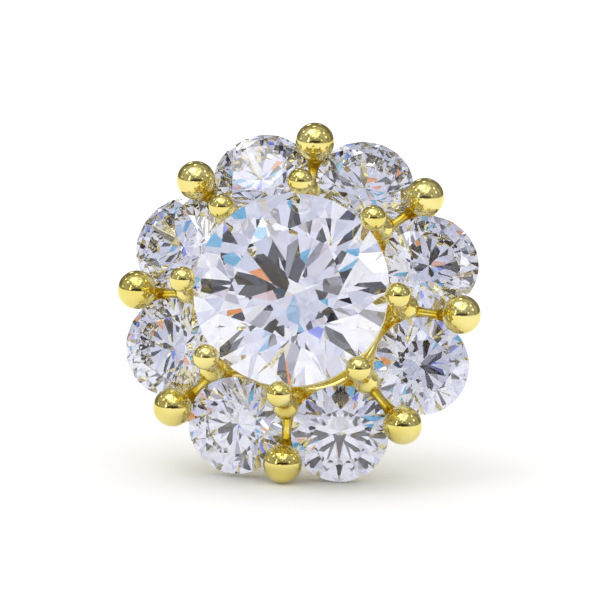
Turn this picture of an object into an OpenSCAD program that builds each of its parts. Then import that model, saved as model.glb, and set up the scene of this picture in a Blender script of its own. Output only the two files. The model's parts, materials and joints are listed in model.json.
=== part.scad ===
// Cluster stud earring: a raised round brilliant with eight smaller ones round it, in ball-tipped double
// claws, and a post. It lies as it comes to rest by itself, on the rim of its head and the tip of its post.
// Millimetres. The floor is z = 0, and the origin is at the middle of the underside of the box round it.

/* [Stones] */
// Diameter of the centre stone
centre_d = 5; // [4.8:0.05:5.05]
// Height of the centre stone's girdle above the middle of the halo stones
centre_up = 1.95; // [1.7:0.05:2.4]
// Diameter of each halo stone
halo_d = 2.5; // [2.3:0.05:2.52]
// Distance from the head's axis to the middle of a halo stone
halo_ring_r = 3.53; // [3.5:0.01:3.6]
// Outward lean of the halo stones, in degrees
halo_lean = 22; // [18:0.5:24]

/* [Cut] */
// Width of the table as a share of the stone's diameter
table_share = 0.57; // [0.53:0.01:0.62]
// Angle of the bezel facets, in degrees
crown_angle = 34.5; // [32:0.5:36]
// Angle of the pavilion main facets, in degrees
pavilion_angle = 41; // [40:0.2:42]
// Length of the star facets, as a share of the way from the table to the girdle
star_share = 0.5; // [0.4:0.05:0.6]
// Length of the lower half facets, as a share of the way from the girdle to the culet
lower_half_share = 0.77; // [0.7:0.01:0.85]
// Thickness of the girdle as a share of the stone's diameter
girdle_share = 0.03; // [0.02:0.005:0.04]

/* [Claws] */
// Diameter of the outer ball tips, each shared by two halo stones
outer_ball_d = 1; // [0.8:0.02:1.02]
// Distance from the head's axis to the middle of an outer ball
outer_ball_ring_r = 4.2; // [4.18:0.01:4.3]
// Height of the outer balls above the middle of the halo stones
outer_ball_up = 0.31; // [0.3:0.01:0.4]
// Diameter of the inner ball tips, which hold the centre stone
inner_ball_d = 0.66; // [0.56:0.02:0.66]
// Distance from the head's axis to the middle of an inner ball
inner_ball_ring_r = 2.76; // [2.74:0.01:2.85]
// Height of the inner balls above the centre stone's girdle
inner_ball_up = 0.33; // [0.33:0.01:0.45]
// Diameter of the inner claw wire
inner_wire_d = 0.4; // [0.34:0.02:0.42]
// Diameter of the shoulder ball on each inner claw, over the inner edges of two halo stones
shoulder_ball_d = 0.66; // [0.5:0.02:0.7]
// Diameter of the outer claw wire and of the strut below it
outer_wire_d = 0.54; // [0.4:0.02:0.58]
// Width of the thin bars that show between neighbouring halo stones
bar_w = 0.24; // [0.2:0.02:0.26]
// Diameter of the rail under each bar
rail_d = 0.48; // [0.46:0.02:0.52]

/* [Seats] */
// Diameter of the wire of a halo stone's seat ring
halo_seat_wire_d = 0.32; // [0.26:0.02:0.34]
// Diameter of the wire of the centre stone's collet ring
collet_wire_d = 0.38; // [0.36:0.01:0.4]
// Diameter of the wire of the base ring
base_wire_d = 0.56; // [0.5:0.02:0.7]
// Distance from the head's axis to the middle of the base ring's wire
base_ring_r = 2.05; // [1.9:0.05:2.2]
// Depth of the base ring below the middle of the halo stones
base_down = 1.7; // [1.6:0.05:2]
// Clearance between a stone and the metal that holds it
stone_gap = 0.035; // [0.03:0.005:0.05]

/* [Post] */
// Diameter of the post
post_d = 0.8; // [0.7:0.05:1]
// Length of the post behind its pad
post_len = 10; // [9:0.5:12]
// Bevel of the post's tip
post_bevel = 0.12; // [0.1:0.02:0.2]
// Diameter of the pad that the post is soldered to
pad_d = 1.9; // [1.6:0.1:2.4]
// Thickness of the pad
pad_t = 0.6; // [0.5:0.05:0.8]
// Width of the cross bars behind the centre stone
cross_w = 0.7; // [0.5:0.05:1]
// Thickness of the cross bars
cross_t = 0.4; // [0.3:0.05:0.5]

/* [Hidden] */
$fn = 48;
gold = "#e8c55a";
clear_stone = "#dfe3f2";

halo_count = 8;
halo_step = 360 / halo_count;
halo_names = [for (i = [1 : halo_count]) str("halo_stone_", i)];

// The head's own frame has x right, y up and z out of the face, with z = 0 at the middle of the halo stones
inner_ball_z = centre_up + inner_ball_up;

// The pad's back stands a little proud of the base ring
pad_stand = 0.07;
pad_back_z = -base_down - base_wire_d / 2 - pad_stand;
post_tip_z = pad_back_z - post_len;

// Radius of a seat ring as a share of its stone's radius
halo_seat_share = 0.8;
collet_share = 0.952;

// Depth of the rails and of their bars' tops below the girdles, and each bar's share of its rail's length
rail_down = 0.5;
bar_top_down = 0.13;
bar_share = 0.54;

// A halo stone's girdle as the claw between two stones meets it, at a distance r from the axis
function girdle_z(r) = -(r * cos(halo_step / 2) - halo_ring_r) * tan(halo_lean);

// The corners of a claw in its own plane, each [distance from the axis, height]
knee_r = 4.07;
inner_foot_r = 2.66;
base_foot = [base_ring_r, -base_down];
inner_foot = [inner_foot_r, girdle_z(inner_foot_r) - rail_down];
knee = [knee_r, girdle_z(knee_r) - rail_down];
shoulder = [2.82, 0.78];
inner_tip = [inner_ball_ring_r, inner_ball_z];
outer_tip = [outer_ball_ring_r, outer_ball_up];

// The ball at a soldered corner is this much wider than its wires
joint_swell = 1.12;

// The cut of a stone repeats eight times round its axis
mains = 8;
halves = 2 * mains;
half_turn = 180 / mains;

// Corners of a round brilliant of diameter d with its girdle at z = 0:
// table, stars, girdle top and bottom, lower halves, culet
function ring_of(n, r, z, turn = 0) = [
    for (k = [0 : n - 1]) let (a = 360 * k / n + turn) [r * cos(a), r * sin(a), z]
];
function bezel_z(d, reach) = girdle_share * d / 2 + (d / 2 - reach) * tan(crown_angle);
function main_z(d, reach) = -girdle_share * d / 2 - (d / 2 - reach) * tan(pavilion_angle);
function star_r(d) = let (edge = table_share * d / 2 * cos(half_turn)) edge + star_share * (d / 2 - edge);
function lower_r(d) = d / 2 * (1 - lower_half_share);
function brilliant_corners(d) = concat(
    ring_of(mains, table_share * d / 2, bezel_z(d, table_share * d / 2)),
    ring_of(mains, star_r(d), bezel_z(d, star_r(d) * cos(half_turn)), half_turn),
    ring_of(halves, d / 2, girdle_share * d / 2),
    ring_of(halves, d / 2, -girdle_share * d / 2),
    ring_of(mains, lower_r(d), main_z(d, lower_r(d) * cos(half_turn)), half_turn),
    [[0, 0, main_z(d, 0)]]
);

// Where each ring of corners starts in the list
table_at = 0;
star_at = table_at + mains;
top_at = star_at + mains;
bottom_at = top_at + halves;
lower_at = bottom_at + halves;
culet_at = lower_at + mains;

// Facets: table, stars, bezels, upper halves, girdle, lower halves, pavilion mains
function before(k) = (k + mains - 1) % mains;
brilliant_faces = concat(
    [[for (k = [mains - 1 : -1 : 0]) table_at + k]],
    [for (k = [0 : mains - 1]) [table_at + k, table_at + (k + 1) % mains, star_at + k]],
    [for (k = [0 : mains - 1]) [table_at + k, star_at + k, top_at + 2 * k, star_at + before(k)]],
    [for (k = [0 : halves - 1]) [star_at + floor(k / 2), top_at + (k + 1) % halves, top_at + k]],
    [for (k = [0 : halves - 1]) let (n = (k + 1) % halves)
        [top_at + k, top_at + n, bottom_at + n, bottom_at + k]],
    [for (k = [0 : halves - 1]) [bottom_at + k, bottom_at + (k + 1) % halves, lower_at + floor(k / 2)]],
    [for (k = [0 : mains - 1]) [lower_at + k, culet_at, lower_at + before(k), bottom_at + 2 * k]]
);

// Where a halo stone sits: leaning outwards on its place in the ring
function halo_angle(i) = halo_step * (i - 0.5);
function turned_x(p, a) = [p.x, p.y * cos(a) - p.z * sin(a), p.y * sin(a) + p.z * cos(a)];
function turned_y(p, a) = [p.x * cos(a) + p.z * sin(a), p.y, p.z * cos(a) - p.x * sin(a)];
function turned_z(p, a) = [p.x * cos(a) - p.y * sin(a), p.x * sin(a) + p.y * cos(a), p.z];
function on_halo(p, i) = turned_z(turned_y(p, halo_lean) + [halo_ring_r, 0, 0], halo_angle(i));

// What the head can touch the floor or the sides of its box with
halo_corners = [for (i = [1 : halo_count]) for (p = brilliant_corners(halo_d)) on_halo(p, i)];
centre_corners = [for (p = brilliant_corners(centre_d)) p + [0, 0, centre_up]];
outer_balls = ring_of(halo_count, outer_ball_ring_r, outer_ball_up);
inner_balls = ring_of(halo_count, inner_ball_ring_r, inner_ball_z);

// The furthest that each reaches along a unit direction d of the head's frame
function points_reach(points, d) = max([for (p = points) p * d]);
function disc_reach(z, r, d) = z * d.z + r * norm([d.x, d.y]);
function post_reach(d) = max(
    disc_reach(post_tip_z, post_d / 2 - post_bevel, d),
    disc_reach(post_tip_z + post_bevel, post_d / 2, d)
);
function head_reach(d) = max(
    points_reach(concat(halo_corners, centre_corners), d),
    points_reach(outer_balls, d) + outer_ball_d / 2,
    points_reach(inner_balls, d) + inner_ball_d / 2
);

// A direction of the world as the head sees it, its face leaning back by tilt and turned clockwise by spin
function as_head_sees(d, tilt, spin) = turned_z(turned_x(d, tilt - 90), spin);
function root(f, low, high, steps = 40) = steps == 0
    ? (low + high) / 2
    : let (mid = (low + high) / 2)
      f(mid) > 0 ? root(f, mid, high, steps - 1) : root(f, low, mid, steps - 1);

// At rest the lowest ball, the halo stone next to it and the post's tip all touch the floor
lowest_ball = [0, -outer_ball_ring_r, outer_ball_up];
next_stone = [for (p = brilliant_corners(halo_d)) on_halo(p, halo_count * 0.75 + 1)];
function ball_drop(tilt, spin) = lowest_ball * as_head_sees([0, 0, -1], tilt, spin) + outer_ball_d / 2;
function stone_drop(tilt, spin) = points_reach(next_stone, as_head_sees([0, 0, -1], tilt, spin));
function spin_at(tilt) = root(function (s) ball_drop(tilt, s) - stone_drop(tilt, s), 0, halo_step / 4);
rest_tilt = root(function (t) ball_drop(t, spin_at(t)) - post_reach(as_head_sees([0, 0, -1], t, 0)), 5, 60);
rest_spin = spin_at(rest_tilt);

// The middle of the underside of the box round the whole earring
function reach(d) = let (seen = as_head_sees(d, rest_tilt, rest_spin))
    max(head_reach(seen), post_reach(seen));
function middle_along(d) = (reach(d) - reach(-d)) / 2;
underside = [middle_along([1, 0, 0]), middle_along([0, 1, 0]), -reach([0, 0, -1])];

// Lays the head's own frame down as the earring rests
module at_rest() {
    translate(-underside) rotate([90 - rest_tilt, 0, 0]) rotate([0, 0, -rest_spin]) children();
}

// Puts a stone or its seat in its place in the halo
module on_seat(i) {
    rotate([0, 0, halo_angle(i)]) translate([halo_ring_r, 0, 0]) rotate([0, halo_lean, 0]) children();
}

// A stone with its girdle at z = 0 and its table up
module brilliant(d) {
    polyhedron(brilliant_corners(d), brilliant_faces);
}

// A round wire between two points of a claw's own plane, each [distance from the axis, height]
module wire(from, to, d) {
    run = to - from;
    translate([from.x, 0, from.y]) rotate([0, atan2(run.x, run.y), 0]) cylinder(h = norm(run), d = d);
}

// A ball at a point of a claw's own plane
module ball(at, d) {
    translate([at.x, 0, at.y]) sphere(d = d);
}

// The thin upright bar on the inner part of a rail, its top just below the girdles on both sides
module bar() {
    run = knee - inner_foot;
    height = (rail_down - bar_top_down) * run.x / norm(run);
    translate([inner_foot.x, 0, inner_foot.y]) rotate([0, atan2(run.x, run.y), 0])
        translate([-height, -bar_w / 2, 0]) cube([height, bar_w, norm(run) * bar_share]);
}

// One double claw: an inner wire up to the centre stone, a rail out between two halo stones,
// and a strut behind them
module claw() {
    wire(base_foot, inner_foot, inner_wire_d);
    wire(inner_foot, inner_tip, inner_wire_d);
    ball(inner_foot, rail_d * joint_swell);
    ball(inner_tip, inner_ball_d);
    ball(shoulder, shoulder_ball_d);
    wire(inner_foot, knee, rail_d);
    bar();
    wire(base_foot, knee, outer_wire_d);
    ball(knee, outer_wire_d * joint_swell);
    wire(knee, outer_tip, outer_wire_d);
    ball(outer_tip, outer_ball_d);
}

// A ring of round wire about the axis
module wire_ring(r, d) {
    rotate_extrude() translate([r, 0]) circle(d = d);
}

// A ring under a stone's pavilion, with the gap between them, at a share of the stone's radius
module seat_ring(stone_d, wire_d, share) {
    r = stone_d / 2 * share;
    down = (wire_d / 2 + stone_gap) / cos(pavilion_angle);
    translate([0, 0, main_z(stone_d, r) - down]) wire_ring(r, wire_d);
}

// Two bars across the base ring, and the pad where they cross
module cross() {
    arm = 2 * base_ring_r;
    for (turn = [0, 90])
        rotate([0, 0, turn])
            translate([-arm / 2, -cross_w / 2, -base_down - cross_t / 2]) cube([arm, cross_w, cross_t]);
    translate([0, 0, pad_back_z]) cylinder(h = pad_t, d = pad_d);
}

// All the soldered metal: claws, seats, collet, base ring and cross bars
module setting() {
    color(gold) at_rest() union() {
        for (k = [0 : halo_count - 1]) rotate([0, 0, halo_step * k]) claw();
        for (i = [1 : halo_count]) on_seat(i) seat_ring(halo_d, halo_seat_wire_d, halo_seat_share);
        translate([0, 0, centre_up]) seat_ring(centre_d, collet_wire_d, collet_share);
        translate([0, 0, -base_down]) wire_ring(base_ring_r, base_wire_d);
        cross();
    }
}

// The straight post behind the pad, its tip bevelled
module post() {
    color(gold) at_rest() union() {
        translate([0, 0, post_tip_z + post_bevel]) cylinder(h = post_len - post_bevel, d = post_d);
        translate([0, 0, post_tip_z]) cylinder(h = post_bevel, d1 = post_d - 2 * post_bevel, d2 = post_d);
    }
}

module centre_stone() {
    color(clear_stone) at_rest() translate([0, 0, centre_up]) brilliant(centre_d);
}

module halo_stone(i) {
    color(clear_stone) at_rest() on_seat(i) brilliant(halo_d);
}

setting();
post();
centre_stone();
for (i = [1 : halo_count])
    halo_stone(i);
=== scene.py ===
"""Dresses the cluster stud earring: its soldered gold setting, cut stones and post, in a small light tent."""
import json
import math

import bmesh
import bpy
import numpy as np
from mathutils import Matrix, Vector


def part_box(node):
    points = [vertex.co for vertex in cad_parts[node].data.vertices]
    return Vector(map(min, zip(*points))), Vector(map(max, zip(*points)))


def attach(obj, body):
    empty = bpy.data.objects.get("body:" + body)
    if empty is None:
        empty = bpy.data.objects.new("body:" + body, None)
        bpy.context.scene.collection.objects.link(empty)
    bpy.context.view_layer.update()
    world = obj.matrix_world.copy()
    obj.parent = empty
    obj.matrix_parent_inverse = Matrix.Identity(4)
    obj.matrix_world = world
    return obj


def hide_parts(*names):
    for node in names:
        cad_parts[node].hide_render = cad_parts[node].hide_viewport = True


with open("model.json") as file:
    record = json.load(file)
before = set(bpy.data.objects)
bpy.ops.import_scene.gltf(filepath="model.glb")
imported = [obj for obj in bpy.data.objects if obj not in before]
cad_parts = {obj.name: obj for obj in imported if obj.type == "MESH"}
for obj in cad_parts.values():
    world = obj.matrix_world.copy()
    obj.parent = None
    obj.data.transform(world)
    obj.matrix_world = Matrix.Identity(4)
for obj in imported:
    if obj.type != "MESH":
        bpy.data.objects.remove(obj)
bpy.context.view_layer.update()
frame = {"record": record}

# The head's own frame is in millimetres: x right, y up the face, z out of the face.
# Its z = 0 is at the middle of the halo stones.
MM = 0.001
CLAWS = 8
STEP = 2 * math.pi / CLAWS

# Stones, and how far chance turned each one in its seat, in degrees
CENTRE_D, CENTRE_UP = 5.0, 1.95
HALO_D, HALO_RING_R, HALO_LEAN = 2.5, 3.53, math.radians(22)
CENTRE_TURN, HALO_TURNS = 4, (3, -14, 9, -6, 17, 0, -19, 12)

# The cut, as shares of a stone's diameter, and its angles
MAINS = 8
TABLE, STAR, LOWER_HALF, GIRDLE = 0.57, 0.5, 0.77, 0.03
CROWN, PAVILION = math.radians(34.5), math.radians(41)
GIRDLE_SIDES = 128
SAME_FACET = math.radians(0.3)

# Wires and balls of one double claw, as [distance from the axis, height]
BASE_FOOT, INNER_FOOT, KNEE = (2.05, -1.7), (2.66, -0.0667), (4.07, -0.593)
INNER_BALL, OUTER_BALL, SHOULDER = (2.76, 2.28), (4.2, 0.31), (2.82, 0.78)
INNER_BALL_R, OUTER_BALL_R, SHOULDER_R = 0.33, 0.5, 0.33
INNER_WIRE_R, OUTER_WIRE_R, RAIL_R = 0.2, 0.255, 0.24
JOINT_SWELL, NECK_STOP = 1.12, 0.35
BAR_SHARE, BAR_HALF_W, BAR_UP, BAR_EDGE = 0.54, 0.095, 0.53, 0.09

# Rings, cross bars and pad behind the stones
SEAT_WIRE_R, SEAT_SHARE = 0.16, 0.8
COLLET_WIRE_R, COLLET_SHARE = 0.17, 0.915
BASE_WIRE_R = 0.28
STONE_GAP = 0.035
CROSS_HALF_W, CROSS_HALF_T = 0.35, 0.2
PAD_BACK, PAD_R, PAD_T, PLATE_EDGE = -2.05, 0.95, 0.6, 0.08
POST_R, POST_LEN, POST_EDGE, POST_MOUNT_UP = 0.4, 10.0, 0.12, -6.99

# Width of the solder fillets, and the fineness of the metal's mesh
SOLDER, NECK_SOLDER, COLLET_SOLDER, BAR_SOLDER, SEAT_SOLDER = 0.16, 0.23, 0.12, 0.09, 0.07
VOXEL, SETTLING_ROUNDS, PROBE_STEP = 0.0565, 4, 0.002
WIRE_SIDES, RING_SIDES, TURNED_SIDES, POST_EDGE_SIDES, BALL_SPLITS = 20, 72, 64, 8, 3
WELD_REACH, SHARP_EDGE = 1e-5, math.radians(50)


def head_matrix():
    """From the head's own frame in millimetres to the row's frame in metres."""
    mount = next(m for m in frame["record"]["mounts"] if m["name"] == "ear_post")
    out = -Vector(mount["axis"]).normalized()
    right = Vector((1, 0, 0))
    up = out.cross(right)
    origin = Vector(mount["pos_m"]) - out * POST_MOUNT_UP * MM
    turns = []
    for i in range(1, CLAWS + 1):
        low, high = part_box(f"halo_stone_{i}")
        middle = (low + high) / 2 - origin
        seen_at = math.atan2(middle.dot(up), middle.dot(right))
        turns.append(math.remainder(seen_at - STEP * (i - 0.5), 2 * math.pi))
    spin = sum(turns) / len(turns)
    axes = Matrix((right, up, out)).transposed().to_4x4()
    return Matrix.Translation(origin) @ axes @ Matrix.Rotation(spin, 4, "Z") @ Matrix.Scale(MM, 4), spin


HEAD, HEAD_SPIN = head_matrix()


def settled(name, mesh, material, slot, *nodes, matrix=HEAD):
    """A finished piece: its place in its mesh, riding on the one body and standing for its CAD nodes."""
    mesh.transform(matrix)
    mesh.name = name
    mesh.materials.clear()
    mesh.materials.append(material)
    piece = bpy.data.objects.new(name, mesh)
    bpy.context.scene.collection.objects.link(piece)
    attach(piece, "root")
    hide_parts(*nodes)
    return piece


# The gold's two tones and its roughness from clear to hazy, the haze, and the ripple with its depth in metres
GOLD_DEEP, GOLD_PALE, GOLD_ROUGH = (0.80, 0.675, 0.19, 1), (0.87, 0.765, 0.30, 1), (0.05, 0.13)
HAZE_SCALE, HAZE_DETAIL, TONE_SPREAD, ROUGH_SPREAD = 1400.0, 2.5, (0.3, 0.7), (0.35, 0.75)
RIPPLE_SCALE, RIPPLE_SHARE, RIPPLE_DEEP = 1100.0, 0.05, 0.00005

# The hollows, where the gold is painted a deeper orange as shade: that gold, the roughness that polishing
# leaves there, how far off in millimetres the metal across a recess is looked for, and the shares of that
# distance at which the painted shade and the roughness start and are full
GOLD_HOLLOW_SHADE, HOLLOW_ROUGH, HOLLOW_REACH, HOLLOW_FROM = (0.86, 0.63, 0.055, 1), 0.25, 0.35, (0.06, 0.4)

# The stones' tints and refraction
LARGE_STONE, SMALL_STONE, ZIRCONIA_IOR = (0.83, 0.84, 0.93, 1), (0.715, 0.73, 0.835, 1), 2.16


class Wiring:
    """Adds nodes to a node tree and joins them up: an input is a socket or a plain value."""

    def __init__(self, tree):
        self.tree = tree
        tree.nodes.clear()

    def add(self, kind, inputs=(), **settings):
        node = self.tree.nodes.new(kind)
        for key, value in settings.items():
            setattr(node, key, value)
        for key, value in dict(inputs).items():
            if isinstance(value, bpy.types.NodeSocket):
                self.tree.links.new(value, node.inputs[key])
            else:
                node.inputs[key].default_value = value
        return node

    def maths(self, operation, *values):
        return self.add("ShaderNodeMath", enumerate(values), operation=operation).outputs[0]

    def ramp(self, value, low, high, start=0.0, end=1.0):
        """The value eased from start to end as it goes from low to high."""
        names = {"Value": value, "From Min": low, "From Max": high, "To Min": start, "To Max": end}
        return self.add("ShaderNodeMapRange", names, interpolation_type="SMOOTHSTEP").outputs[0]

    def mixed(self, share, first, second):
        """Two colours mixed, with the given share of the second."""
        node = self.add("ShaderNodeMix", data_type="RGBA")
        sockets = {s.identifier: s for s in node.inputs}
        for key, value in (("Factor_Float", share), ("A_Color", first), ("B_Color", second)):
            if isinstance(value, bpy.types.NodeSocket):
                self.tree.links.new(value, sockets[key])
            else:
                sockets[key].default_value = value
        return next(s for s in node.outputs if s.identifier == "Result_Color")


def polished_gold():
    """Bright yellow gold plate with the faint ripple and haze of hand polishing, rougher in its hollows and
    painted a deeper orange there as shade.
    """
    material = bpy.data.materials.new("polished gold plate")
    material.use_nodes = True
    w = Wiring(material.node_tree)
    place = w.add("ShaderNodeTexCoord").outputs["Object"]
    haze, ripple = (
        w.add("ShaderNodeTexNoise", {"Vector": place, "Scale": scale, "Detail": detail}).outputs["Fac"]
        for scale, detail in ((HAZE_SCALE, HAZE_DETAIL), (RIPPLE_SCALE, 0.0))
    )
    # Mask for painted shade and roughness: how deep each point lies in a recess of the metal
    hollow_shade_mask = w.ramp(w.add("ShaderNodeAttribute", attribute_name="hollow_shade_mask").outputs["Fac"], *HOLLOW_FROM)
    open_rough = w.ramp(haze, *ROUGH_SPREAD, *GOLD_ROUGH)
    rough = w.maths("ADD", open_rough, w.maths("MULTIPLY", hollow_shade_mask, HOLLOW_ROUGH))
    # Painted shade: the gold's tone turns a deeper orange in the hollows
    tone = w.mixed(hollow_shade_mask, w.mixed(w.ramp(haze, *TONE_SPREAD), GOLD_DEEP, GOLD_PALE), GOLD_HOLLOW_SHADE)
    bump = w.add("ShaderNodeBump", {"Strength": RIPPLE_SHARE, "Distance": RIPPLE_DEEP, "Height": ripple})
    finish = {"Base Color": tone, "Metallic": 1.0, "Roughness": rough, "Normal": bump.outputs["Normal"]}
    metal = w.add("ShaderNodeBsdfPrincipled", finish)
    w.add("ShaderNodeOutputMaterial", {"Surface": metal.outputs[0]})
    return material


def clear_stone(name, tint):
    """Cubic zirconia: clear, sharp and strongly refracting, with a faint lavender grey."""
    material = bpy.data.materials.new(name)
    material.use_nodes = True
    w = Wiring(material.node_tree)
    finish = {"Base Color": tint, "Roughness": 0.0, "IOR": ZIRCONIA_IOR, "Transmission Weight": 1.0}
    stone = w.add("ShaderNodeBsdfPrincipled", finish)
    w.add("ShaderNodeOutputMaterial", {"Surface": stone.outputs[0]})
    return material


def ring(count, radius, turn=0.0):
    """Corners evenly round a circle."""
    angles = [2 * math.pi * k / count + turn for k in range(count)]
    return [(radius * math.cos(a), radius * math.sin(a)) for a in angles]


def crown_z(reach):
    """Height of a bezel facet at a reach from the axis, taken square to the facet."""
    return GIRDLE / 2 + (0.5 - reach) * math.tan(CROWN)


def pavilion_z(reach):
    """Height of a pavilion main facet at a reach from the axis, taken square to the facet."""
    return -GIRDLE / 2 - (0.5 - reach) * math.tan(PAVILION)


def half_facet(tip, side):
    """A function for the height of a half facet from its tip to the girdle: side is 1 above it, -1 below."""
    half = math.pi / MAINS
    a = Vector((0.5, 0, side * GIRDLE / 2))
    b = Vector((0.5 * math.cos(half), 0.5 * math.sin(half), side * GIRDLE / 2))
    normal = (a - tip).cross(b - tip)

    def height(x, y):
        return tip.z - (normal.x * (x - tip.x) + normal.y * (y - tip.y)) / normal.z

    return height


def round_brilliant():
    """Corners of a round brilliant one unit wide, girdle at z = 0: 57 facets round a smooth girdle."""
    half = math.pi / MAINS
    table_r, lower_r = TABLE / 2, 0.5 * (1 - LOWER_HALF)
    edge = table_r * math.cos(half)
    star_r = edge + STAR * (0.5 - edge)
    star_z, lower_z = crown_z(star_r * math.cos(half)), pavilion_z(lower_r * math.cos(half))
    corners = [(x, y, crown_z(table_r)) for x, y in ring(MAINS, table_r)]
    corners += [(x, y, star_z) for x, y in ring(MAINS, star_r, half)]
    corners += [(x, y, lower_z) for x, y in ring(MAINS, lower_r, half)]
    corners.append((0, 0, pavilion_z(0)))
    over = half_facet(Vector((star_r * math.cos(half), star_r * math.sin(half), star_z)), 1)
    under = half_facet(Vector((lower_r * math.cos(half), lower_r * math.sin(half), lower_z)), -1)
    for x, y in ring(GIRDLE_SIDES, 0.5):
        folded = abs(math.remainder(math.atan2(y, x), 2 * half))
        spot = (0.5 * math.cos(folded), 0.5 * math.sin(folded))
        corners += [(x, y, over(*spot)), (x, y, under(*spot))]
    return corners


def cut_stone(diameter):
    """The stone as a closed mesh with flat facets."""
    bm = bmesh.new()
    for corner in round_brilliant():
        bm.verts.new(Vector(corner) * diameter)
    hull = bmesh.ops.convex_hull(bm, input=bm.verts[:])
    inside = [g for g in hull["geom_interior"] if isinstance(g, bmesh.types.BMVert)]
    bmesh.ops.delete(bm, geom=inside, context="VERTS")
    bmesh.ops.dissolve_limit(bm, angle_limit=SAME_FACET, verts=bm.verts[:], edges=bm.edges[:])
    bmesh.ops.recalc_face_normals(bm, faces=bm.faces[:])
    mesh = bpy.data.meshes.new("stone")
    bm.to_mesh(mesh)
    bm.free()
    return mesh


def turned(degrees, axis):
    return Matrix.Rotation(math.radians(degrees), 4, axis)


def set_stones(large, small):
    """The centre stone, and each halo stone leaning outwards, turned as chance set it."""
    seat = HEAD @ Matrix.Translation((0, 0, CENTRE_UP)) @ turned(CENTRE_TURN, "Z")
    settled("centre_stone_cut", cut_stone(CENTRE_D), large, "clear_stone", "centre_stone", matrix=seat)
    lean = Matrix.Translation((HALO_RING_R, 0, 0)) @ Matrix.Rotation(HALO_LEAN, 4, "Y")
    for i, turn in enumerate(HALO_TURNS, start=1):
        seat = HEAD @ Matrix.Rotation(STEP * (i - 0.5), 4, "Z") @ lean @ turned(turn, "Z")
        node = f"halo_stone_{i}"
        settled(node + "_cut", cut_stone(HALO_D), small, "clear_stone", node, matrix=seat)


def seat_down(stone_d, wire_r, share):
    """How far below the girdle a seat ring's wire runs, just clear of the pavilion."""
    facet_z = -GIRDLE * stone_d / 2 - stone_d / 2 * (1 - share) * math.tan(PAVILION)
    return facet_z - (wire_r + STONE_GAP) / math.cos(PAVILION)


def in_plane(point):
    """A point of the first claw's plane, from its distance to the axis and its height."""
    return np.array((point[0], 0.0, point[1]))


def claw_parts():
    """One double claw: rods as (from, to, radius), balls as (middle, radius)."""
    base, inner, knee = in_plane(BASE_FOOT), in_plane(INNER_FOOT), in_plane(KNEE)
    inner_tip, outer_tip = in_plane(INNER_BALL), in_plane(OUTER_BALL)
    neck = (outer_tip - knee) / np.linalg.norm(outer_tip - knee)
    rods = [
        (base, inner, INNER_WIRE_R),
        (inner, inner_tip, INNER_WIRE_R),
        (inner, knee, RAIL_R),
        (base, knee, OUTER_WIRE_R),
        (knee, outer_tip - neck * NECK_STOP, OUTER_WIRE_R),
    ]
    balls = [
        (inner, RAIL_R * JOINT_SWELL),
        (knee, OUTER_WIRE_R * JOINT_SWELL),
        (in_plane(SHOULDER), SHOULDER_R),
        (inner_tip, INNER_BALL_R),
        (outer_tip, OUTER_BALL_R),
    ]
    return rods, balls


def ring_parts():
    """Rings as (middle, axis, radius of the ring, radius of its wire): halo seat, collet, base."""
    outward = np.array((math.cos(STEP / 2), math.sin(STEP / 2), 0.0))
    up = np.array((0.0, 0.0, 1.0))
    axis = math.sin(HALO_LEAN) * outward + math.cos(HALO_LEAN) * up
    seat_middle = HALO_RING_R * outward + axis * seat_down(HALO_D, SEAT_WIRE_R, SEAT_SHARE)
    seat = (seat_middle, axis, HALO_D / 2 * SEAT_SHARE, SEAT_WIRE_R)
    collet_z = CENTRE_UP + seat_down(CENTRE_D, COLLET_WIRE_R, COLLET_SHARE)
    collet = (up * collet_z, up, CENTRE_D / 2 * COLLET_SHARE, COLLET_WIRE_R)
    base = (up * BASE_FOOT[1], up, BASE_FOOT[0], BASE_WIRE_R)
    return seat, collet, base


def bar_frame():
    """Middle, directions and half sizes of the thin upright bar on the inner part of a claw's rail."""
    start, run = in_plane(INNER_FOOT), (in_plane(KNEE) - in_plane(INNER_FOOT)) * BAR_SHARE
    along = run / np.linalg.norm(run)
    across = np.array((0.0, 1.0, 0.0))
    up = np.cross(along, across)
    halves = (np.linalg.norm(run) / 2, BAR_HALF_W, BAR_UP / 2)
    return start + run / 2 + up * BAR_UP / 2, np.array((along, across, up)), halves


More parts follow.
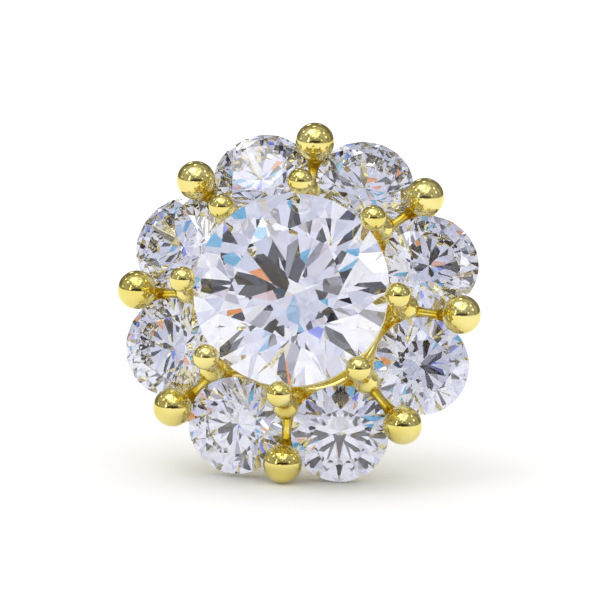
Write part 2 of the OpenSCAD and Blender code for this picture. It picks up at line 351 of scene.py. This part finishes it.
def wirework_tree():
    """Makes each edge of a plan a round wire and each point a ball, and repeats them all round the axis."""
    tree = bpy.data.node_groups.new("soldered wirework", "GeometryNodeTree")
    sockets = (("Plan", "NodeSocketGeometry"), ("Repeats", "NodeSocketInt"), ("Wire sides", "NodeSocketInt"),
               ("Metal", "NodeSocketMaterial"))
    for name, kind in sockets:
        tree.interface.new_socket(name, in_out="INPUT", socket_type=kind)
    tree.interface.new_socket("Wirework", in_out="OUTPUT", socket_type="NodeSocketGeometry")
    w = Wiring(tree)
    plan = w.add("NodeGroupInput").outputs
    wire_r, ball_r = (
        w.add("GeometryNodeInputNamedAttribute", {"Name": name}, data_type="FLOAT").outputs["Attribute"]
        for name in ("wire_r", "ball_r")
    )
    split = w.add("GeometryNodeSplitEdges", {"Mesh": plan["Plan"]}).outputs[0]
    curves = w.add("GeometryNodeMeshToCurve", {"Mesh": split}).outputs[0]
    sized = w.add("GeometryNodeSetCurveRadius", {"Curve": curves, "Radius": wire_r}).outputs[0]
    round_one = {"Resolution": plan["Wire sides"], "Radius": 1.0}
    section = w.add("GeometryNodeCurvePrimitiveCircle", round_one).outputs[0]
    rods = w.add("GeometryNodeCurveToMesh", {"Curve": sized, "Profile Curve": section, "Fill Caps": True})
    if "Scale" in rods.inputs:
        tree.links.new(w.add("GeometryNodeInputRadius").outputs[0], rods.inputs["Scale"])
    ball = w.add("GeometryNodeMeshIcoSphere", {"Radius": 1.0, "Subdivisions": BALL_SPLITS}).outputs[0]
    on_plan = {"Points": plan["Plan"], "Instance": ball, "Scale": ball_r}
    balls = w.add("GeometryNodeInstanceOnPoints", on_plan).outputs[0]
    unit = w.add("GeometryNodeJoinGeometry")
    tree.links.new(rods.outputs[0], unit.inputs[0])
    tree.links.new(balls, unit.inputs[0])
    spots = w.add("GeometryNodePoints", {"Count": plan["Repeats"]}).outputs[0]
    number = w.add("GeometryNodeInputIndex").outputs[0]
    share = w.maths("DIVIDE", number, plan["Repeats"])
    turn = w.add("ShaderNodeCombineXYZ", {"Z": w.maths("MULTIPLY", share, 2 * math.pi)}).outputs[0]
    on_spots = {"Points": spots, "Instance": unit.outputs[0], "Rotation": turn}
    round_axis = w.add("GeometryNodeInstanceOnPoints", on_spots)
    real = w.add("GeometryNodeRealizeInstances", {"Geometry": round_axis.outputs[0]}).outputs[0]
    finish = w.add("GeometryNodeSetMaterial", {"Geometry": real, "Material": plan["Metal"]}).outputs[0]
    w.add("NodeGroupOutput", {"Wirework": finish})
    return tree


def plan_mesh(rods, balls, rings):
    """The plan that the wirework is made from: points and edges that carry the radii of balls and wires."""
    points, edges, wire_r, ball_r = [], [], [], []
    for a, b, r in rods:
        points += [a, b]
        ball_r += [r, r]
        edges.append((len(points) - 2, len(points) - 1))
        wire_r.append(r)
    for middle, r in balls:
        points.append(middle)
        ball_r.append(r)
    for middle, axis, ring_r, r in rings:
        side = np.cross(axis, (0.0, 1.0, 0.0))
        side /= np.linalg.norm(side)
        other = np.cross(axis, side)
        first = len(points)
        for k, (x, y) in enumerate(ring(RING_SIDES, ring_r)):
            points.append(middle + x * side + y * other)
            ball_r.append(r)
            edges.append((first + k, first + (k + 1) % RING_SIDES))
            wire_r.append(r)
    mesh = bpy.data.meshes.new("plan")
    mesh.from_pydata([tuple(p) for p in points], edges, [])
    mesh.attributes.new("ball_r", "FLOAT", "POINT").data.foreach_set("value", ball_r)
    mesh.attributes.new("wire_r", "FLOAT", "EDGE").data.foreach_set("value", wire_r)
    return mesh


def grown(plan, tree, metal, **sizes):
    """The plain mesh that a Geometry Nodes tree makes from a plan."""
    maker = bpy.data.objects.new("maker", plan)
    bpy.context.scene.collection.objects.link(maker)
    nodes = maker.modifiers.new("nodes", "NODES")
    nodes.node_group = tree
    inputs = {item.name: item.identifier for item in tree.interface.items_tree if item.in_out == "INPUT"}
    for name, value in {"Metal": metal, **sizes}.items():
        nodes[inputs[name.replace("_", " ")]] = value
    mesh = bpy.data.meshes.new_from_object(maker.evaluated_get(bpy.context.evaluated_depsgraph_get()))
    bpy.data.objects.remove(maker)
    return mesh


def block(bm, middle, axes, halves):
    """A plain block added to a bmesh."""
    turn = Matrix([list(a) for a in axes]).transposed().to_4x4()
    size = Matrix.Diagonal((*[2 * h for h in halves], 1.0))
    bmesh.ops.create_cube(bm, size=1.0, matrix=Matrix.Translation(middle) @ turn @ size)


def cross_bars():
    """Half sizes of the two bars that cross behind the centre stone."""
    return ((CROSS_HALF_W, BASE_FOOT[0], CROSS_HALF_T), (BASE_FOOT[0], CROSS_HALF_W, CROSS_HALF_T))


def rough_setting(metal):
    """All the setting's solids in one mesh, before they are melted together."""
    tree = wirework_tree()
    rods, balls = claw_parts()
    seat, collet, base = ring_parts()
    bm = bmesh.new()
    bm.from_mesh(grown(plan_mesh(rods, balls, [seat]), tree, metal, Repeats=CLAWS, Wire_sides=WIRE_SIDES))
    bm.from_mesh(grown(plan_mesh([], [], [collet, base]), tree, metal, Repeats=1, Wire_sides=WIRE_SIDES))
    middle, axes, halves = bar_frame()
    for k in range(CLAWS):
        turn = np.array(Matrix.Rotation(STEP * k, 3, "Z"))
        block(bm, turn @ middle, axes @ turn.T, halves)
    for halves in cross_bars():
        block(bm, (0, 0, BASE_FOOT[1]), np.eye(3), halves)
    bmesh.ops.create_cone(
        bm, cap_ends=True, segments=TURNED_SIDES, radius1=PAD_R, radius2=PAD_R, depth=PAD_T,
        matrix=Matrix.Translation((0, 0, PAD_BACK + PAD_T / 2)),
    )
    mesh = bpy.data.meshes.new("rough setting")
    bm.to_mesh(mesh)
    bm.free()
    return mesh


def melt(first, second, fillet):
    """Two distances joined with a solder fillet."""
    share = np.clip(0.5 + 0.5 * (second - first) / fillet, 0, 1)
    return second + (first - second) * share - fillet * share * (1 - share)


def from_rod(p, a, b, r):
    """Signed distance from points to a wire with round ends."""
    run = b - a
    t = np.clip((p - a) @ run / (run @ run), 0, 1)
    return np.linalg.norm(p - a - t[:, None] * run, axis=1) - r


def from_ring(p, middle, axis, ring_r, r):
    """Signed distance from points to a ring of round wire."""
    q = p - middle
    height = q @ axis
    flat = np.linalg.norm(q - height[:, None] * axis, axis=1)
    return np.hypot(flat - ring_r, height) - r


def from_block(p, middle, axes, halves, edge_r):
    """Signed distance from points to a block with rounded edges."""
    q = np.abs((p - middle) @ np.asarray(axes).T) - (np.asarray(halves) - edge_r)
    return np.linalg.norm(np.maximum(q, 0), axis=1) + np.minimum(q.max(axis=1), 0) - edge_r


def from_pad(p):
    """Signed distance from points to the round pad that the post is soldered to."""
    flat = np.hypot(p[:, 0], p[:, 1]) - (PAD_R - PLATE_EDGE)
    tall = np.abs(p[:, 2] - PAD_BACK - PAD_T / 2) - (PAD_T / 2 - PLATE_EDGE)
    q = np.stack((flat, tall), axis=1)
    return np.linalg.norm(np.maximum(q, 0), axis=1) + np.minimum(q.max(axis=1), 0) - PLATE_EDGE


def metal_distance(p):
    """Signed distance from points to the finished metal, with a fillet where its parts are soldered.

    The claws repeat round the axis, so the points are folded into half of one claw's share of the head.
    """
    flat = np.hypot(p[:, 0], p[:, 1])
    turn = np.arctan2(p[:, 1], p[:, 0])
    turn = np.abs((turn + STEP / 2) % STEP - STEP / 2)
    f = np.stack((flat * np.cos(turn), flat * np.sin(turn), p[:, 2]), axis=1)
    rods, balls = claw_parts()
    seat, collet, base = ring_parts()
    metal = from_ring(f, *base)
    for rod in rods:
        metal = melt(metal, from_rod(f, *rod), SOLDER)
    for middle, r in balls:
        fillet = NECK_SOLDER if r == OUTER_BALL_R else SOLDER
        metal = melt(metal, np.linalg.norm(f - middle, axis=1) - r, fillet)
    metal = melt(metal, from_block(f, *bar_frame(), BAR_EDGE), BAR_SOLDER)
    metal = melt(metal, from_ring(f, *seat), SEAT_SOLDER)
    metal = melt(metal, from_ring(f, *collet), COLLET_SOLDER)
    for halves in cross_bars():
        metal = melt(metal, from_block(p, (0, 0, BASE_FOOT[1]), np.eye(3), halves, PLATE_EDGE), SOLDER)
    return melt(metal, from_pad(p), SOLDER)


def slope(p):
    """The way out of the metal at each point."""
    out = np.stack([metal_distance(p + d) - metal_distance(p - d) for d in np.eye(3) * PROBE_STEP], axis=1)
    return out / np.linalg.norm(out, axis=1, keepdims=True)


def melted_setting(rough):
    """The rough solids fused by a voxel remesh, then every point laid on the finished metal's surface.

    Each point also carries how near the metal across from it is, which marks the hollows where the gold is
    painted with shade.
    """
    blank = bpy.data.objects.new("blank", rough)
    bpy.context.scene.collection.objects.link(blank)
    remesh = blank.modifiers.new("fuse", "REMESH")
    remesh.mode, remesh.voxel_size = "VOXEL", VOXEL
    mesh = bpy.data.meshes.new_from_object(blank.evaluated_get(bpy.context.evaluated_depsgraph_get()))
    bpy.data.objects.remove(blank)
    points = np.zeros(len(mesh.vertices) * 3, np.float32)
    mesh.vertices.foreach_get("co", points)
    points = points.reshape(-1, 3).astype(float)
    for _ in range(SETTLING_ROUNDS):
        off = np.clip(metal_distance(points), -VOXEL, VOXEL)
        points -= off[:, None] * slope(points)
    mesh.vertices.foreach_set("co", points.astype(np.float32).ravel())
    mesh.update()
    mesh.polygons.foreach_set("use_smooth", np.ones(len(mesh.polygons), bool))
    out = slope(points)
    mesh.normals_split_custom_set_from_vertices(out.tolist())
    # How deep each point lies in a recess, which the gold uses as its mask for painted shade
    hollow_shade_mask = 1 - metal_distance(points + out * HOLLOW_REACH) / HOLLOW_REACH
    mesh.attributes.new("hollow_shade_mask", "FLOAT", "POINT").data.foreach_set("value", hollow_shade_mask)
    return mesh


def turned_post():
    """The post turned on its axis, with its tip rounded."""
    tip = PAD_BACK - POST_LEN
    profile = [(0.0, PAD_BACK), (POST_R, PAD_BACK)]
    for k in range(POST_EDGE_SIDES + 1):
        a = math.pi / 2 * k / POST_EDGE_SIDES
        profile.append((POST_R - POST_EDGE * (1 - math.cos(a)), tip + POST_EDGE * (1 - math.sin(a))))
    profile.append((0.0, tip))
    bm = bmesh.new()
    line = [bm.verts.new((r, 0, z)) for r, z in profile]
    edges = [bm.edges.new(pair) for pair in zip(line, line[1:])]
    bmesh.ops.spin(bm, geom=line + edges, axis=(0, 0, 1), cent=(0, 0, 0), angle=2 * math.pi,
                   steps=TURNED_SIDES, use_duplicate=False)
    bmesh.ops.remove_doubles(bm, verts=bm.verts[:], dist=WELD_REACH)
    bmesh.ops.recalc_face_normals(bm, faces=bm.faces[:])
    mesh = bpy.data.meshes.new("post")
    bm.to_mesh(mesh)
    bm.free()
    mesh.polygons.foreach_set("use_smooth", np.ones(len(mesh.polygons), bool))
    mesh.set_sharp_from_angle(angle=SHARP_EDGE)
    return mesh


# Where the camera stands: its tilt off the head's axis, to which side, its roll, its distance in metres,
# and the millimetres across the frame at the point that it looks at
VIEW_TILT, VIEW_SIDE, VIEW_ROLL = math.radians(12.9), math.radians(-55.0), math.radians(4.25)
VIEW_FAR, FRAME_WIDE, VIEW_MIDDLE_UP = 0.2, 15.2, 0.6
NEAR_CLIP, FAR_CLIP = 0.01, 50.0

# Floor and soft box
PAPER, PAPER_ROUGH, PAPER_SHEEN, FLOOR_HALF, FLOOR_DOWN = (0.96, 0.96, 0.965, 1), 0.9, 0.1, 3.0, 0.00003
LAMP_AT, LAMP_WIDE, LAMP_POWER, LAMP_COLOUR = (-0.08, -0.06, 0.22), 0.12, 0.05, (1.0, 0.99, 0.97)

# How often light turns in the stones and on the gold
STONE_TURNS, GOLD_TURNS = 24, 12

# The tent: its own light, its walls as the gold sees them with the lamp's glow above, its cloth as the
# stones see it, and the slit round the camera, as half its width and height, with the dark room behind it
TENT_LIGHT = (1.12, 1.12, 1.12, 1)
WALL_FOOT, WALL_HEAD, WALL_BEHIND = (0.35, 0.35, 0.37, 1), (0.54, 0.54, 0.58, 1), (0.22, 0.21, 0.19, 1)
WALL_RISE, WALL_TURN = (-0.6, 0.9), (-0.1, -0.6)
GLOW, GLOW_FORWARD, GLOW_EDGE = (1.7, 1.7, 1.85, 1), 0.7, (math.radians(34), math.radians(22))
CLOTH = (0.80, 0.81, 0.92, 1)
GOLD_SLIT, GOLD_ROOM = (0.62, 0.13), (0.05, 0.045, 0.04, 1)
STONE_SLIT, STONE_ROOM, SLIT_EDGE, SLIT_SIDE = (0.30, 0.17), (0.02, 0.02, 0.03, 1), (1.3, 0.7), (0.0, 0.1)

# The tent's panels are numbered from 0 to 1 by chance. The gold mirrors some as dim patches and some as
# small lamps, given as their numbers, where they fade out from their middles, and how strong they are
PANEL_SHIFT, PANEL_SCALE, NUMBER_EDGE = (9.2, 3.7, 8.8), 5.0, 0.004
DIM_PATCH, DIM_PANELS = (0.10, 0.09, 0.07, 1), ((0.48, 1.0), (0.7, 0.4), 0.55)
SMALL_LAMP, LAMP_PANELS = (2.6, 2.6, 2.73, 1), ((0.30, 0.42), (0.55, 0.33), 1.0)

# The stones show the panels as dark facets and fire: the number from which on a panel has a colour
PANEL_EDGE = (0.62, 0.52)
TENT_PANELS = (
    (0.000, (0.88, 0.89, 1.00)),
    (0.500, (0.03, 0.03, 0.04)),
    (0.605, (0.50, 0.49, 0.50)),
    (0.725, (0.90, 0.80, 0.62)),
    (0.780, (0.70, 0.72, 0.84)),
    (0.835, (0.15, 0.52, 0.80)),
    (0.870, (0.40, 0.75, 1.00)),
    (0.905, (0.25, 0.30, 0.95)),
    (0.925, (1.00, 0.36, 0.08)),
    (0.960, (0.88, 0.18, 0.18)),
)


def view_axes():
    """Directions from the head to the camera, to its right and up, in the row's frame."""
    unspun = HEAD.to_3x3().normalized() @ Matrix.Rotation(-HEAD_SPIN, 3, "Z")
    flat = math.sin(VIEW_TILT)
    toward = unspun @ Vector((flat * math.cos(VIEW_SIDE), flat * math.sin(VIEW_SIDE), math.cos(VIEW_TILT)))
    up = unspun @ Vector((-math.sin(VIEW_ROLL), math.cos(VIEW_ROLL), 0))
    up = (up - toward * up.dot(toward)).normalized()
    return toward, up.cross(toward), up


def put_camera():
    toward, right, up = view_axes()
    data = bpy.data.cameras.new("camera")
    camera = bpy.data.objects.new("camera", data)
    bpy.context.scene.collection.objects.link(camera)
    data.sensor_fit = "HORIZONTAL"
    data.lens = data.sensor_width * VIEW_FAR / (FRAME_WIDE * MM)
    data.clip_start, data.clip_end = NEAR_CLIP, FAR_CLIP
    middle = HEAD @ Vector((0.0, 0.0, VIEW_MIDDLE_UP))
    turn = Matrix((right, up, toward)).transposed().to_4x4()
    camera.matrix_world = Matrix.Translation(middle + toward * VIEW_FAR) @ turn
    bpy.context.scene.camera = camera


def put_floor():
    """A plain pale sheet that the earring lies on."""
    bm = bmesh.new()
    bmesh.ops.create_grid(bm, x_segments=1, y_segments=1, size=FLOOR_HALF)
    mesh = bpy.data.meshes.new("floor")
    bm.to_mesh(mesh)
    bm.free()
    material = bpy.data.materials.new("pale paper")
    material.use_nodes = True
    w = Wiring(material.node_tree)
    finish = {"Base Color": PAPER, "Roughness": PAPER_ROUGH, "Specular IOR Level": PAPER_SHEEN}
    paper = w.add("ShaderNodeBsdfPrincipled", finish)
    w.add("ShaderNodeOutputMaterial", {"Surface": paper.outputs[0]})
    mesh.materials.append(material)
    floor = bpy.data.objects.new("floor", mesh)
    floor.location.z = -FLOOR_DOWN
    bpy.context.scene.collection.objects.link(floor)


def light_tent():
    """A white tent all round, brighter above and open where the camera looks in, and a soft box over it."""
    toward, right, up = view_axes()
    world = bpy.data.worlds.new("light tent")
    bpy.context.scene.world = world
    world.use_nodes = True
    w = Wiring(world.node_tree)
    way = w.add("ShaderNodeTexCoord").outputs["Generated"]
    ray = w.add("ShaderNodeLightPath").outputs

    def along(direction):
        axis = {0: way, 1: tuple(direction)}
        return w.add("ShaderNodeVectorMath", axis, operation="DOT_PRODUCT").outputs["Value"]

    def slit(half_wide, half_tall):
        """1 in the slit round the camera and 0 outside it."""
        x = w.maths("DIVIDE", along(right), half_wide)
        y = w.maths("DIVIDE", along(up), half_tall)
        far = w.maths("ADD", w.maths("MULTIPLY", x, x), w.maths("MULTIPLY", y, y))
        return w.maths("MULTIPLY", w.ramp(far, *SLIT_EDGE), w.ramp(along(toward), *SLIT_SIDE))

    def on_panels(numbers, fade, strength):
        """The strength in the middle of the panels with these numbers, fading to 0 at their edges."""
        low = w.ramp(number, numbers[0], numbers[0] + NUMBER_EDGE)
        high = w.ramp(number, numbers[1] + NUMBER_EDGE, numbers[1])
        near = w.ramp(cells["Distance"], *fade, 0.0, strength)
        return w.maths("MULTIPLY", w.maths("MULTIPLY", low, high), near)

    shifted = w.add("ShaderNodeVectorMath", {0: way, 1: PANEL_SHIFT}, operation="ADD").outputs[0]
    cells = w.add("ShaderNodeTexVoronoi", {"Vector": shifted, "Scale": PANEL_SCALE}).outputs
    number = w.add("ShaderNodeSeparateColor", {"Color": cells["Color"]}).outputs[0]
    panels = w.add("ShaderNodeValToRGB", {"Fac": number})
    panels.color_ramp.interpolation = "CONSTANT"
    for place, colour in TENT_PANELS[1:]:
        panels.color_ramp.elements.new(place)
    for element, (place, colour) in zip(panels.color_ramp.elements, TENT_PANELS):
        element.position, element.color = place, (*colour, 1)

    sides = w.mixed(w.ramp(along(up), *WALL_RISE), WALL_FOOT, WALL_HEAD)
    walls = w.mixed(w.ramp(along(toward), *WALL_TURN), sides, WALL_BEHIND)
    to_glow = along((up + toward * GLOW_FORWARD).normalized())
    glowing = w.mixed(w.ramp(to_glow, *(math.cos(a) for a in GLOW_EDGE)), walls, GLOW)
    dimmed = w.mixed(on_panels(*DIM_PANELS), glowing, DIM_PATCH)
    lit = w.mixed(on_panels(*LAMP_PANELS), dimmed, SMALL_LAMP)
    for_gold = w.mixed(slit(*GOLD_SLIT), lit, GOLD_ROOM)

    patchy = w.mixed(w.ramp(cells["Distance"], *PANEL_EDGE), CLOTH, panels.outputs["Color"])
    for_stones = w.mixed(slit(*STONE_SLIT), patchy, STONE_ROOM)
    seen = w.mixed(ray["Is Glossy Ray"], TENT_LIGHT, for_gold)
    seen = w.mixed(ray["Is Transmission Ray"], seen, for_stones)
    tent = w.add("ShaderNodeBackground", {"Color": seen, "Strength": 1.0})
    w.add("ShaderNodeOutputWorld", {"Surface": tent.outputs[0]})

    lamp = bpy.data.lights.new("soft box", "AREA")
    lamp.shape, lamp.size, lamp.energy, lamp.color = "DISK", LAMP_WIDE, LAMP_POWER, LAMP_COLOUR
    box = bpy.data.objects.new("soft box", lamp)
    aim = Vector(LAMP_AT).to_track_quat("Z", "Y").to_matrix().to_4x4()
    box.matrix_world = Matrix.Translation(LAMP_AT) @ aim
    bpy.context.scene.collection.objects.link(box)


# The finished pieces in place, then floor, light and camera
gold = polished_gold()
settled("setting_soldered", melted_setting(rough_setting(gold)), gold, "gold_plate", "setting")
settled("post_turned", turned_post(), gold, "gold_plate", "post")
set_stones(clear_stone("clear zirconia", LARGE_STONE), clear_stone("clear zirconia small", SMALL_STONE))
put_floor()
light_tent()
put_camera()

scene = bpy.context.scene
scene.view_settings.view_transform = "Standard"
scene.cycles.max_bounces = scene.cycles.transmission_bounces = STONE_TURNS
scene.cycles.glossy_bounces = GOLD_TURNS
scene.cycles.use_denoising = True
